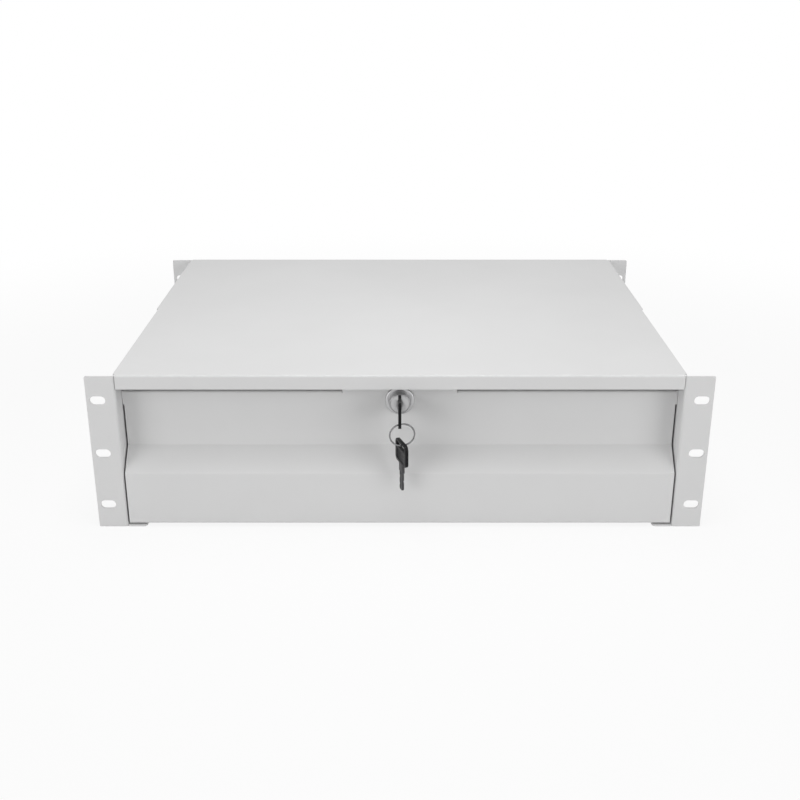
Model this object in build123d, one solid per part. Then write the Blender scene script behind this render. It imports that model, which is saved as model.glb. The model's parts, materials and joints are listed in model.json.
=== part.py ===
from build123d import *
import math
import os

# Sliding rack drawer, three rack units high, in millimetres.
# X runs to the right, Y to the back and Z up. The origin is the centre of the front ears'
# slot pattern, on the back face of the ears, where they meet the rack's front posts.

# Rack standard
rack_width = 482.6
slot_edge = 8.75
slot_pitch = 44.45
slots_per_ear = 3
slot_length = 12.0
slot_width = 7.0
ear_width = 21.5
ear_clearance = 4.95
ear_top_step = 0.8
ear_corner = 1.2

# Case of folded sheet
case_depth = 359.0
wall_sheet = 1.5
cover_sheet = 1.2
bend_radius = 0.5
corner_relief = 3.5
lip_height = 11.4
rear_fold = 12.0
lip_seam = 0.3
top_flange = 14.0
bottom_flange = 15.0
flange_chamfer = 2.0
flange_slit = 0.2

# Lock keeper under the cover
keeper_sheet = 1.5
keeper_width = 40.0
keeper_flange = 13.5
keeper_gap = 0.5

# Rear brackets, adjustable in depth
bracket_sheet = 2.0
bracket_leg_length = 180.0
bracket_travel = 60.0
bracket_slot_width = 5.5
bolt_radius = 2.5
bolt_head_radius = 5.0
bolt_head_height = 2.0
bolt_head_bevel = 1.0
bolt_spacing = 60.0
bolt_end_margin = 34.0
bolt_top_drop = 20.0
bolt_slide_gap = 12.5
bolt_play = 0.2
nut_across_flats = 8.0
nut_height = 4.0

# Drawer front of folded sheet, with the recessed grip
front_sheet = 1.2
front_side_gap = 1.4
front_top_drop = 19.3
grip_recess = 17.5
grip_crease_share = 0.506
drawer_floor_gap = 1.2
front_top_flange = 14.0
front_bottom_flange = 28.0
wing_gap = 0.3
wing_height = 11.3
tab_width = 90.0
tab_corner = 3.0
tab_relief = 0.45
lip_clearance = 1.2

# Drawer tray with its inner front and its back
tray_sheet = 1.2
tray_flange = 10.0
tray_end_gap = 13.0
pan_flange = 12.0
pan_relief = 2.0
notch_width = 34.0
notch_depth = 22.0
notch_corner = 4.0

# Fixings of the front
stud_radius = 2.0
stud_length = 7.5
stud_places_share = (0.28, 0.72)
stud_rise_share = 0.44
small_nut_across_flats = 7.0
small_nut_height = 3.2
thread_play = 0.05

# Telescopic ball slides
slide_height = 45.0
slide_front_gap = 8.0
slide_back_gap = 7.0
slide_bottom_gap = 3.5
rail_sheet = 1.2
middle_sheet = 1.0
middle_web_offset = 2.1
ball_radius = 2.0
ball_play = 0.05
outer_ball_gap = 1.8
inner_ball_gap = 0.3
ball_spread = 4.2
balls_per_row = 4
ball_pitch = 45.0
cage_sheet = 0.5
outer_cage_margins = (3.6, 1.8)
inner_cage_margins = (2.6, 2.0)
inner_cage_drop = 0.2
cage_end = 17.0
pocket_play = 0.1
rail_corner = 1.0
groove_lip_angle = 35.0
groove_root_angle = 30.0
middle_root_angle = 45.0
half_turn = 180.0
full_turn = 360.0

# Rubber buffers at the back of the slides
buffer_length = 8.0
buffer_height = 18.0
buffer_width = 9.0
buffer_gap = 0.3

# Screws of the slides
screw_radius = 2.0
screw_head_radius = 3.7
screw_head_height = 1.7
screw_head_bevel = 0.8
screw_sink = 1.0
screw_play = 0.1
screw_places_share = (0.12, 0.5, 0.86)

# Cam lock
lock_drop = 26.9
flange_radius = 11.4
flange_thickness = 2.0
flange_bevel = 0.8
barrel_radius = 9.5
barrel_flats = 16.5
barrel_length = 20.0
barrel_play = 0.15
lock_nut_across_flats = 24.0
lock_nut_height = 4.0
knob_radius = 8.0
knob_length = 6.5
knob_bevel = 0.8
plug_radius = 6.0
running_play = 0.05
square_size = 8.0
square_play = 0.05
stub_radius = 3.0
stub_length = 4.5
cam_thickness = 2.5
cam_reach = 20.0
cam_width = 14.0
cam_hub_radius = 8.5
cam_nut_across_flats = 10.0
cam_nut_height = 3.5

# Keys
bow_width = 23.2
bow_length = 18.5
bow_thickness = 2.4
bow_corner = 2.5
bow_slot_length = 18.4
bow_slot_width = 3.2
bow_slot_inset = 3.8
collar_width = 9.0
collar_length = 7.0
tang_length = 6.0
blade_width = 6.0
blade_length = 15.5
blade_thickness = 1.6
blade_cut_depth = 0.9
blade_cuts_share = (0.3, 0.5, 0.7)
keyway_play = 0.1
key_gap = 0.1

# Split ring that joins the keys
ring_radius = 9.65
ring_wire_radius = 0.6
ring_hang_gap = 0.45
ring_turn = 8.0
ring_lean = 9.0
ring_shift_angle = 12.0
spare_turn = 20.0

# Heights and faces worked out from the sizes above
slot_spacing = rack_width - 2 * slot_edge
ear_height = slots_per_ear * slot_pitch - ear_clearance
case_width = rack_width - 2 * ear_width
ear_top = ear_height / 2
case_top = ear_top + ear_top_step
front_y = -wall_sheet
back_y = front_y + case_depth
wall_outer = case_width / 2
wall_inner = wall_outer - wall_sheet
cover_under = case_top - cover_sheet
case_bottom = -ear_height / 2
lip_bottom = case_top - lip_height

front_width = 2 * (wall_inner - front_side_gap)
front_top = case_top - front_top_drop
front_bottom = case_bottom + wall_sheet + drawer_floor_gap
panel_y = front_y + grip_recess
panel_back_y = panel_y + front_sheet
crease_top = case_top - grip_crease_share * ear_height
crease_bottom = crease_top - grip_recess
tab_top = lip_bottom - lip_clearance

outer_ball_offset = rail_sheet + outer_ball_gap + ball_radius
inner_ball_offset = outer_ball_offset + ball_spread
slide_thickness = inner_ball_offset + ball_radius + inner_ball_gap + rail_sheet
tray_half = wall_inner - slide_thickness
tray_inner = tray_half - tray_sheet
tray_top = front_top - front_sheet
tray_bottom = front_bottom + front_sheet
tray_floor = tray_bottom + tray_sheet
tray_back_y = back_y - tray_end_gap

slide_length = case_depth - slide_front_gap - slide_back_gap
slide_z = front_bottom + slide_bottom_gap + slide_height / 2
slide_y = front_y + slide_front_gap
moving_rail_length = slide_length - buffer_length - buffer_gap
groove_radius = ball_radius + ball_play
outer_ball_height = slide_height / 2 - rail_sheet - groove_radius
ball_step = 2 * groove_radius + middle_sheet
inner_ball_height = outer_ball_height - math.sqrt(
    ball_step**2 - ball_spread**2
)

stud_z = crease_top + stud_rise_share * (front_top - crease_top)
bolt_rows = (case_top - bolt_top_drop, slide_z + slide_height / 2 + bolt_slide_gap)

lock_z = case_top - lock_drop
barrel_end_y = panel_y + barrel_length
cam_y = barrel_end_y + running_play
keeper_y = cam_y - keeper_gap
plug_face_y = panel_y - flange_thickness - running_play - knob_length
key_stop_y = plug_face_y - key_gap


def ahead(points, distance):
    """The points moved sideways by a distance, to the left of the way they run."""
    spots = [Vector(*point) for point in points]
    lefts = [(b - a).normalized().rotate(Axis.Z, 90) for a, b in zip(spots, spots[1:])]
    pairs = zip(lefts[:1] + lefts, lefts + lefts[-1:])
    return [
        spot + (left + right) * (distance / (1 + left.dot(right)))
        for spot, (left, right) in zip(spots, pairs)
    ]


def folded(points, sheet):
    """Section of a folded sheet, to the left of its outer corners, or right if negative."""
    half = abs(sheet) / 2
    middle = FilletPolyline(*ahead(points, sheet / 2), radius=bend_radius + half)
    halves = [
        make_face(offset(middle, amount=half, side=side, closed=True).edges())
        for side in (Side.LEFT, Side.RIGHT)
    ]
    return halves[0] + halves[1]


def block(x, y, z):
    """Box between two corners, each given as a pair of places along its axis."""
    spans = [(min(pair), max(pair)) for pair in (x, y, z)]
    sizes = [high - low for low, high in spans]
    return Pos(*(low for low, high in spans)) * Box(*sizes, align=Align.MIN)


def along_y(section, start, length):
    """Solid of an XZ section that starts at a place along Y and runs to the back."""
    return extrude(Pos(0, start, 0) * (Plane.XZ * section), length, dir=(0, 1, 0))


def along_x(section, half):
    """Solid of a YZ section that reaches half to each side of the middle."""
    return extrude(Plane.YZ * section, half, both=True)


def round_y(radius, start, length, x=0, z=0):
    """Round bar along Y."""
    return along_y(Pos(x, z) * Circle(radius), start, length)


def round_x(radius, start, length, y, z):
    """Round bar along X."""
    return extrude(Pos(start, y, z) * (Plane.YZ * Circle(radius)), length, dir=(1, 0, 0))


def hexagon_y(across_flats, start, length, x=0, z=0):
    """Hexagonal bar along Y with a flat at its top."""
    side = RegularPolygon(across_flats / 2, 6, major_radius=False, rotation=30)
    return along_y(Pos(x, z) * side, start, length)


def mirrored(shape):
    """The same shape on the other side of the middle."""
    return mirror(shape, Plane.YZ)


def ear_slots():
    """Tools for the slots of one right ear, along Y through any ear."""
    first = -slot_pitch * (slots_per_ear - 1) / 2
    slot = SlotOverall(slot_length, slot_width)
    rows = [Pos(slot_spacing / 2, first + n * slot_pitch) * slot for n in range(slots_per_ear)]
    return [along_y(row, -case_depth, 3 * case_depth) for row in rows]


def bolt_places():
    """Y and Z of each bolt of a rear bracket."""
    last = back_y - bolt_end_margin
    return [
        (y, z)
        for z in bolt_rows
        for y in (last - bolt_spacing, last)
    ]


def slide_screw_places(length):
    """Y of each screw of a rail."""
    return [slide_y + share * length for share in screw_places_share]


def top_cover():
    """Cover with its front lip and its fold at the back."""
    section = folded(
        [
            (back_y, case_top - rear_fold),
            (back_y, case_top),
            (front_y, case_top),
            (front_y, lip_bottom),
        ],
        cover_sheet,
    )
    cover = along_x(section, wall_outer)
    beside = (wall_inner - lip_seam, wall_outer + cover_sheet)
    front_corner = (front_y - cover_sheet, front_y + corner_relief)
    back_corner = (back_y - corner_relief, back_y + cover_sheet)
    below = (case_top - rear_fold - lip_height, cover_under)
    for side in (1, -1):
        x = [side * place for place in beside]
        cover -= block(x, front_corner, (below[0], case_top + cover_sheet))
        cover -= block(x, back_corner, below)
    return cover


def side_panel():
    """Right side: ear, wall, and flanges at the top and the bottom."""
    bend = folded(
        [
            (rack_width / 2, front_y),
            (wall_inner, front_y),
            (wall_inner, front_y + corner_relief),
        ],
        -wall_sheet,
    )
    ear = extrude(Plane.XY * bend, ear_height / 2, both=True)
    tips = ear.edges().filter_by(Axis.Y).group_by(Axis.X)[-1]
    ear = fillet(tips, ear_corner)
    channel = folded(
        [
            (wall_inner - top_flange, cover_under),
            (wall_outer, cover_under),
            (wall_outer, case_bottom),
            (wall_inner - bottom_flange, case_bottom),
        ],
        -wall_sheet,
    )
    wall = along_y(channel, front_y + corner_relief, case_depth - corner_relief)
    wall += block(
        (wall_inner - bottom_flange, wall_inner - flange_slit),
        (front_y, front_y + 2 * corner_relief),
        (case_bottom, case_bottom + wall_sheet),
    )
    flange_tips = wall.edges().filter_by(Axis.Z).group_by(Axis.X)[0]
    wall = chamfer(flange_tips, flange_chamfer)
    wall -= block(
        (0, wall_inner),
        (back_y - corner_relief, back_y),
        (case_top - rear_fold, case_top),
    )
    panel = ear + wall
    for tool in ear_slots():
        panel -= tool
    for y, z in bolt_places():
        panel -= round_x(bolt_radius + bolt_play, wall_inner - wall_sheet, case_width, y, z)
    for y in slide_screw_places(slide_length):
        panel -= round_x(screw_radius + thread_play, wall_inner - wall_sheet, case_width, y, slide_z)
    return panel


def lock_keeper():
    """Angle that hangs from the cover, in front of the turned-up cam."""
    section = folded(
        [
            (keeper_y - keeper_flange, cover_under),
            (keeper_y, cover_under),
            (keeper_y, lip_bottom),
        ],
        -keeper_sheet,
    )
    return along_x(section, keeper_width / 2)


def rear_bracket():
    """Right rear ear, with two long slots in its leg."""
    leg_start = back_y - bracket_leg_length
    inner_face = wall_outer + running_play
    section = folded(
        [
            (inner_face, leg_start),
            (inner_face, back_y),
            (rack_width / 2, back_y),
        ],
        -bracket_sheet,
    )
    bracket = extrude(Plane.XY * section, ear_height / 2, both=True)
    tips = bracket.edges().filter_by(Axis.Y).group_by(Axis.X)[-1]
    bracket = fillet(tips, ear_corner)
    for tool in ear_slots():
        bracket -= tool
    long_slot = SlotCenterToCenter(bolt_spacing + bracket_travel, bracket_slot_width)
    middle = back_y - bolt_end_margin - (bolt_spacing + bracket_travel) / 2
    for z in bolt_rows:
        tool = Pos(wall_outer - bracket_sheet, middle, z) * (Plane.YZ * long_slot)
        bracket -= extrude(tool, 3 * bracket_sheet)
    return bracket


def bracket_bolts():
    """Low-headed bolts through the right bracket's leg and the wall."""
    head_face = wall_outer + bracket_sheet + 2 * running_play
    shank = head_face - wall_inner + nut_height
    bolts = []
    for y, z in bolt_places():
        head = round_x(bolt_head_radius, head_face, bolt_head_height, y, z)
        rim = head.edges().group_by(Axis.X)[-1]
        head = chamfer(rim, bolt_head_bevel)
        bolts.append(head + round_x(bolt_radius, head_face, -shank, y, z))
    return Compound(bolts)


def bracket_nuts():
    """Nuts of the right bracket's bolts, on the inside of the wall."""
    hexagon = RegularPolygon(nut_across_flats / 2, 6, major_radius=False)
    bore = Circle(bolt_radius + thread_play)
    nuts = [
        extrude(Pos(wall_inner, y, z) * (Plane.YZ * (hexagon - bore)), -nut_height)
        for y, z in bolt_places()
    ]
    return Compound(nuts)


def lock_hole(play):
    """Round hole with two flats, centred on the lock."""
    outline = Circle(barrel_radius + play) & Rectangle(
        barrel_flats + 2 * play, 2 * (barrel_radius + play)
    )
    return Pos(0, lock_z) * outline


def drawer_front():
    """Folded front with its top flange, grip recess, bottom flange, tab and wings."""
    section = folded(
        [
            (front_y + front_bottom_flange, front_bottom),
            (front_y, front_bottom),
            (front_y, crease_bottom),
            (panel_y, crease_top),
            (panel_y, front_top),
            (panel_y + front_top_flange, front_top),
        ],
        -front_sheet,
    )
    front = along_x(section, front_width / 2)
    fold_height = front_sheet + bend_radius
    cut_low = front_top - fold_height
    half_gap = tab_width / 2 + tab_relief
    front -= block(
        (-half_gap, half_gap),
        (panel_y - front_sheet, panel_back_y + front_top_flange),
        (cut_low, front_top + front_sheet),
    )
    tab_low = cut_low - fold_height
    tab = Rectangle(tab_width, tab_top - tab_low)
    tab = fillet(tab.vertices().group_by(Axis.Y)[-1], tab_corner)
    front += along_y(Pos(0, (tab_top + tab_low) / 2) * tab, panel_y, front_sheet)
    wing = block(
        (front_width / 2, wall_inner - wing_gap),
        (panel_y, panel_back_y),
        (front_top - wing_height, front_top),
    )
    front += wing + mirrored(wing)
    return front - along_y(lock_hole(barrel_play), panel_y - front_sheet, 3 * front_sheet)


def stud_places():
    """X and Z of each stud that holds the front."""
    return [
        (side * share * tray_inner, stud_z) for side in (1, -1) for share in stud_places_share
    ]


def pan(height):
    """Upright plate with a flange to the back at each of its four edges."""
    upright = folded(
        [(pan_flange, 0), (0, 0), (0, height), (pan_flange, height)],
        -tray_sheet,
    )
    level = folded(
        [(-tray_inner, pan_flange), (-tray_inner, 0), (tray_inner, 0), (tray_inner, pan_flange)],
        tray_sheet,
    )
    fold = tray_sheet + bend_radius
    middle = along_x(upright, tray_inner - fold - pan_relief)
    ends = extrude(Pos(0, 0, fold) * level, height - 2 * fold)
    return middle + ends


def drawer_inner_front():
    """Flanged plate behind the front, notched for the lock."""
    height = tray_top - tray_floor
    plate = Pos(0, panel_back_y, tray_floor) * pan(height)
    notch_low = tray_top - notch_depth
    notch = RectangleRounded(notch_width, 2 * notch_depth, notch_corner)
    plate -= along_y(Pos(0, notch_low + notch_depth) * notch, panel_y, 2 * pan_flange)
    for x, z in stud_places():
        plate -= round_y(stud_radius + bolt_play, panel_y, pan_flange, x, z)
    return plate


def drawer_back():
    """Flanged plate that closes the tray's back."""
    height = tray_top - tray_floor
    return Pos(0, tray_back_y, tray_floor) * Rot(0, 0, 180) * pan(height)


def drawer_tray():
    """Floor and sides in one sheet, with a flange along the top of each side."""
    section = folded(
        [
            (tray_half - tray_flange, tray_top),
            (tray_half, tray_top),
            (tray_half, tray_bottom),
            (-tray_half, tray_bottom),
            (-tray_half, tray_top),
            (-tray_half + tray_flange, tray_top),
        ],
        -tray_sheet,
    )
    start = panel_back_y + bend_radius
    tray = along_y(section, start, tray_back_y - start)
    beside_pan = pan_flange + pan_relief
    for y in (
        (panel_back_y, panel_back_y + beside_pan),
        (tray_back_y - beside_pan, tray_back_y),
    ):
        tray -= block((-tray_inner, tray_inner), y, (tray_top - tray_flange, tray_top))
    for y in slide_screw_places(moving_rail_length):
        tray -= round_x(screw_radius + screw_play, -case_width, 2 * case_width, y, slide_z)
    return tray


def front_studs():
    """Studs welded to the back of the front."""
    return Compound([round_y(stud_radius, panel_back_y, stud_length, x, z) for x, z in stud_places()])


def front_nuts():
    """Nuts on the studs, against the inner front."""
    start = panel_back_y + tray_sheet
    nuts = []
    for x, z in stud_places():
        nut = hexagon_y(small_nut_across_flats, start, small_nut_height, x, z)
        nuts.append(nut - round_y(stud_radius + thread_play, start, small_nut_height, x, z))
    return Compound(nuts)


def groove(offset_in, height, sheet, start, end):
    """Curved strip of sheet round one row of balls, between two angles in degrees."""
    centre = (offset_in, height)
    inside = CenterArc(centre, groove_radius, start, end - start)
    outside = CenterArc(centre, groove_radius + sheet, start, end - start)
    ends = [Line(inside @ place, outside @ place) for place in (0, 1)]
    return make_face(inside.edges() + outside.edges() + [line.edge() for line in ends])


def strip(low, high):
    """Rectangle between two corners."""
    width, height = high[0] - low[0], high[1] - low[1]
    return Pos(low[0] + width / 2, low[1] + height / 2) * Rectangle(width, height)


def both_rows(upper):
    """The upper half of a rail's section and its mirror image below."""
    return upper + mirror(upper, Plane.XZ)


def cabinet_rail_section():
    """Channel on the wall: web, flanges and the grooves over the outer balls."""
    root = math.radians(groove_root_angle)
    mean = groove_radius + rail_sheet / 2
    flange_mid = outer_ball_height + mean * math.sin(root)
    flange_end = outer_ball_offset - mean * math.cos(root)
    top = flange_mid + rail_sheet / 2
    upper = (
        strip((0, 0), (rail_sheet, top))
        + strip((0, top - rail_sheet), (flange_end, top))
        + groove(
            outer_ball_offset,
            outer_ball_height,
            rail_sheet,
            groove_lip_angle,
            half_turn - groove_root_angle,
        )
    )
    section = both_rows(upper)
    return fillet(section.vertices().group_by(Axis.X)[0], rail_corner)


def middle_rail_section():
    """Rail between the ball rows: under the outer balls and over the inner ones."""
    mean = groove_radius + middle_sheet / 2
    rise = math.degrees(math.atan2(outer_ball_height - inner_ball_height, ball_spread))
    root = middle_root_angle
    reach = mean * math.cos(math.radians(root))
    flange_mid = outer_ball_height - reach
    top = flange_mid + middle_sheet / 2
    web = (middle_web_offset, middle_web_offset + middle_sheet)
    upper = (
        strip((web[0], 0), (web[1], top))
        + strip((web[0], top - middle_sheet), (outer_ball_offset - reach, top))
        + groove(
            outer_ball_offset,
            outer_ball_height,
            middle_sheet,
            half_turn + root,
            full_turn - rise,
        )
        + groove(
            inner_ball_offset,
            inner_ball_height,
            middle_sheet,
            groove_root_angle,
            half_turn - rise,
        )
    )
    return both_rows(upper)


def drawer_rail_section():
    """Rail on the tray's side, with the grooves under the inner balls."""
    mean = groove_radius + rail_sheet / 2
    root = math.radians(groove_lip_angle)
    flange_mid = inner_ball_height - mean * math.sin(root)
    top = flange_mid + rail_sheet / 2
    web = (slide_thickness - rail_sheet, slide_thickness)
    flange_start = inner_ball_offset + mean * math.cos(root)
    upper = (
        strip((web[0], 0), (web[1], top))
        + strip((flange_start, top - rail_sheet), (web[1], top))
        + groove(
            inner_ball_offset,
            inner_ball_height,
            rail_sheet,
            half_turn + groove_lip_angle,
            full_turn - groove_lip_angle,
        )
    )
    section = both_rows(upper)
    return fillet(section.vertices().group_by(Axis.X)[-1], rail_corner)


def rail(section, length):
    """Left-hand rail: its section's first axis runs from the wall towards the drawer."""
    return along_y(Pos(-wall_inner, slide_z) * section, slide_y, length)


def ball_places():
    """Y of each ball in a row, about the middle of the slide."""
    middle = slide_y + slide_length / 2
    first = middle - ball_pitch * (balls_per_row - 1) / 2
    return [first + n * ball_pitch for n in range(balls_per_row)]


def ball_rows(offset_in, height):
    """Two rows of balls of one slide, at the left."""
    x = offset_in - wall_inner
    balls = [
        Pos(x, y, slide_z + side * height) * Sphere(ball_radius)
        for side in (1, -1)
        for y in ball_places()
    ]
    return Compound(balls)


def ball_cage(margins, offset_in, height):
    """Two strips with open pockets for the balls of one slide, at the left."""
    pocket = ball_radius + pocket_play
    across = (offset_in - margins[0] - wall_inner, offset_in + margins[1] - wall_inner)
    along = (ball_places()[0] - cage_end, ball_places()[-1] + cage_end)
    strips = []
    for side in (1, -1):
        z = slide_z + side * height
        one = block(across, along, (z - cage_sheet / 2, z + cage_sheet / 2))
        for y in ball_places():
            one -= Pos(offset_in - wall_inner, y, z) * Cylinder(pocket, 2 * cage_sheet)
        strips.append(one)
    return Compound(strips)


def cabinet_rail():
    """Rail on the left wall, with sunk holes for its screws."""
    shape = rail(cabinet_rail_section(), slide_length)
    hole = screw_body(screw_play, 2 * rail_sheet)
    for y in slide_screw_places(slide_length):
        shape -= Pos(-wall_inner + rail_sheet, y, slide_z) * hole
    return shape


def screw_body(play, length):
    """Sunk-head screw whose face is at zero and whose shank runs towards negative X."""
    head = Cone(
        screw_radius,
        screw_head_radius,
        screw_sink,
        align=(Align.CENTER, Align.CENTER, Align.MAX),
    )
    shank = Cylinder(screw_radius + play, length, align=(Align.CENTER, Align.CENTER, Align.MAX))
    return Rot(0, 90, 0) * (head + shank)


def cabinet_rail_screws():
    """Sunk screws that hold the left cabinet rail to the wall, level with its outer face."""
    length = rail_sheet + wall_sheet
    return Compound(
        [
            Pos(-wall_inner + rail_sheet, y, slide_z) * screw_body(0, length)
            for y in slide_screw_places(slide_length)
        ]
    )


def drawer_rail():
    """Rail on the left side of the tray."""
    shape = rail(drawer_rail_section(), moving_rail_length)
    for y in slide_screw_places(moving_rail_length):
        shape -= round_x(screw_radius + thread_play, -case_width, case_width, y, slide_z)
    return shape


def drawer_rail_screws():
    """Round-headed screws from inside the tray into the left drawer rail."""
    face = -tray_inner
    reach = tray_sheet + 2 * rail_sheet
    screws = []
    for y in slide_screw_places(moving_rail_length):
        head = round_x(screw_head_radius, face, screw_head_height, y, slide_z)
        rim = head.edges().group_by(Axis.X)[-1]
        head = chamfer(rim, screw_head_bevel)
        screws.append(head + round_x(screw_radius, face, -reach, y, slide_z))
    return Compound(screws)


def rail_buffer():
    """Rubber stop inside the back end of the left cabinet rail."""
    end = slide_y + slide_length
    start = -wall_inner + rail_sheet
    stop = block(
        (start, start + buffer_width),
        (end - buffer_length, end),
        (slide_z - buffer_height / 2, slide_z + buffer_height / 2),
    )
    front_edges = stop.edges().filter_by(Axis.Z).group_by(Axis.Y)[0]
    return fillet(front_edges, rail_sheet)


def lock_housing():
    """Barrel with two flats and a bevelled face flange."""
    bore = plug_radius + running_play
    face = round_y(flange_radius, panel_y, -flange_thickness, 0, lock_z)
    rim = face.edges().group_by(Axis.Y)[0]
    face = chamfer(rim, flange_bevel)
    barrel = along_y(lock_hole(0), panel_y, barrel_length)
    through = flange_thickness + barrel_length
    return face + barrel - round_y(bore, panel_y - flange_thickness, through, 0, lock_z)


def lock_nut():
    """Hexagonal nut that clamps the barrel to the front."""
    nut = hexagon_y(lock_nut_across_flats, panel_back_y, lock_nut_height, 0, lock_z)
    return nut - along_y(lock_hole(barrel_play), panel_back_y, lock_nut_height)


def lock_plug():
    """Turning plug: knob, stem, square for the cam, and threaded end."""
    knob = round_y(knob_radius, plug_face_y, knob_length, 0, lock_z)
    rim = knob.edges().group_by(Axis.Y)[0]
    knob = fillet(rim, knob_bevel)
    knob_end = plug_face_y + knob_length
    stem = round_y(plug_radius, knob_end, cam_y - knob_end, 0, lock_z)
    square = Pos(0, lock_z) * Rectangle(square_size, square_size)
    plug = knob + stem + along_y(square, cam_y, cam_thickness)
    plug += round_y(stub_radius, cam_y + cam_thickness, stub_length, 0, lock_z)
    keyway = Pos(0, lock_z) * Rectangle(
        blade_thickness + 2 * keyway_play, blade_width + 2 * keyway_play
    )
    return plug - along_y(keyway, plug_face_y, blade_length + 2 * key_gap)


def lock_cam():
    """Flat cam that points left at rest and turns up behind the keeper."""
    tip = cam_reach - cam_width / 2
    arm = Circle(cam_hub_radius) + Pos(-tip / 2, 0) * Rectangle(tip, cam_width)
    arm += Pos(-tip, 0) * RectangleRounded(cam_width, cam_width, cam_width / 4)
    arm -= Rectangle(square_size + 2 * square_play, square_size + 2 * square_play)
    return along_y(Pos(0, lock_z) * arm, cam_y, cam_thickness)


def cam_nut():
    """Nut that holds the cam on the plug."""
    start = cam_y + cam_thickness
    nut = hexagon_y(cam_nut_across_flats, start, cam_nut_height, 0, lock_z)
    return nut - round_y(stub_radius + thread_play, start, cam_nut_height, 0, lock_z)


# A key lies flat in XY with its bow's end edge at zero and its tip towards positive Y.


def key_metal():
    """Tang, collar and notched blade in one piece."""
    collar_start = bow_length
    blade_start = collar_start + collar_length
    blade_end = blade_start + blade_length
    half = blade_width / 2
    outline = make_face(
        Polyline(
            (-half, blade_start),
            (half, blade_start),
            (half, blade_end - half),
            (half / 2, blade_end),
            (-half / 2, blade_end),
            (-half, blade_end - half),
            close=True,
        )
    )
    for n, share in enumerate(blade_cuts_share):
        side = 1 if n % 2 else -1
        y = blade_start + share * blade_length
        cut = Polyline(
            (side * (half - blade_cut_depth), y),
            (side * 2 * half, y - blade_cut_depth - half),
            (side * 2 * half, y + blade_cut_depth + half),
            close=True,
        )
        outline -= make_face(cut)
    tang_start = bow_length - tang_length
    collar = strip(
        (-collar_width / 2, tang_start), (collar_width / 2, blade_start)
    )
    return extrude(outline + collar, blade_thickness / 2, both=True)


def key_bow():
    """Plastic bow with its long slot, moulded round the tang."""
    outline = Pos(0, bow_length / 2) * RectangleRounded(bow_width, bow_length, bow_corner)
    outline -= Pos(0, bow_slot_inset) * SlotOverall(bow_slot_length, bow_slot_width)
    bow = extrude(outline, bow_thickness / 2, both=True)
    return bow - key_metal()


# The first key's width stands upright in the lock. The ring hangs in its slot, turned a
# little to the right and leaning back, and the spare key hangs at the ring's lowest point,
# turned a little further.
up = Vector(0, 0, 1)
turn = math.radians(ring_turn)
lean = math.radians(ring_lean)
shift = math.radians(ring_shift_angle)
ring_across = Vector(math.cos(turn), math.sin(turn), 0)
ring_behind = Vector(-math.sin(turn), math.cos(turn), 0)
spare_across = Vector(math.cos(math.radians(spare_turn)), math.sin(math.radians(spare_turn)), 0)
ring_down = ring_behind * math.sin(lean) - up * math.cos(lean)
ring_axis = ring_across.cross(ring_down) * -1

key_start_y = key_stop_y - collar_length - bow_length
wire_from_slot_end = ring_wire_radius + ring_hang_gap
hang_point = Vector(
    0,
    key_start_y + bow_slot_inset,
    lock_z - bow_slot_length / 2 + wire_from_slot_end,
)
ring_centre = hang_point + (ring_down * math.cos(shift) + ring_across * math.sin(shift)) * ring_radius
spare_point = ring_centre + ring_down * ring_radius
spare_top = spare_point + up * (bow_slot_inset - bow_slot_width / 2 + wire_from_slot_end)

key_place = Plane(origin=(0, key_start_y, lock_z), x_dir=(0, 0, 1), z_dir=(-1, 0, 0))
spare_place = Plane(origin=spare_top, x_dir=spare_across.cross(up), z_dir=spare_across)
ring_place = Plane(origin=ring_centre, x_dir=ring_across, z_dir=ring_axis)

pieces = {
    "top_cover": top_cover(),
    "right_side_panel": side_panel(),
    "lock_keeper": lock_keeper(),
    "right_rear_bracket": rear_bracket(),
    "right_bracket_bolts": bracket_bolts(),
    "right_bracket_nuts": bracket_nuts(),
    "drawer_front": drawer_front(),
    "drawer_inner_front": drawer_inner_front(),
    "drawer_tray": drawer_tray(),
    "drawer_back": drawer_back(),
    "front_studs": front_studs(),
    "front_nuts": front_nuts(),
    "left_cabinet_rail": cabinet_rail(),
    "left_middle_rail": rail(middle_rail_section(), moving_rail_length),
    "left_drawer_rail": drawer_rail(),
    "left_outer_balls": ball_rows(outer_ball_offset, outer_ball_height),
    "left_inner_balls": ball_rows(inner_ball_offset, inner_ball_height),
    "left_outer_ball_cage": ball_cage(outer_cage_margins, outer_ball_offset, outer_ball_height),
    "left_inner_ball_cage": ball_cage(
        inner_cage_margins, inner_ball_offset, inner_ball_height - inner_cage_drop
    ),
    "left_cabinet_rail_screws": cabinet_rail_screws(),
    "left_drawer_rail_screws": drawer_rail_screws(),
    "left_rail_buffer": rail_buffer(),
    "lock_housing": lock_housing(),
    "lock_nut": lock_nut(),
    "lock_plug": lock_plug(),
    "lock_cam": lock_cam(),
    "cam_nut": cam_nut(),
    "key_blade": key_place * key_metal(),
    "key_bow": key_place * key_bow(),
    "key_ring": ring_place * Torus(ring_radius, ring_wire_radius),
    "spare_key_blade": spare_place * key_metal(),
    "spare_key_bow": spare_place * key_bow(),
}

os.makedirs("parts", exist_ok=True)

# What stands on one side has its mirror image on the other.
for name, shape in list(pieces.items()):
    for here, there in (("right_", "left_"), ("left_", "right_")):
        if name.startswith(here) and name.replace(here, there) not in pieces:
            pieces[name.replace(here, there)] = mirrored(shape)

for name, shape in pieces.items():
    export_step(shape, f"parts/{name}.step")

print(len(pieces), "pieces")
print("hang point", hang_point, "spare point", spare_point)
print("ring centre", ring_centre, "ring axis", ring_axis, "across", ring_across)
print("lock height", lock_z, "cam", cam_y, "keeper", keeper_y)
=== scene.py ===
import json
import math

import bpy
from mathutils import Matrix, Vector


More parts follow.
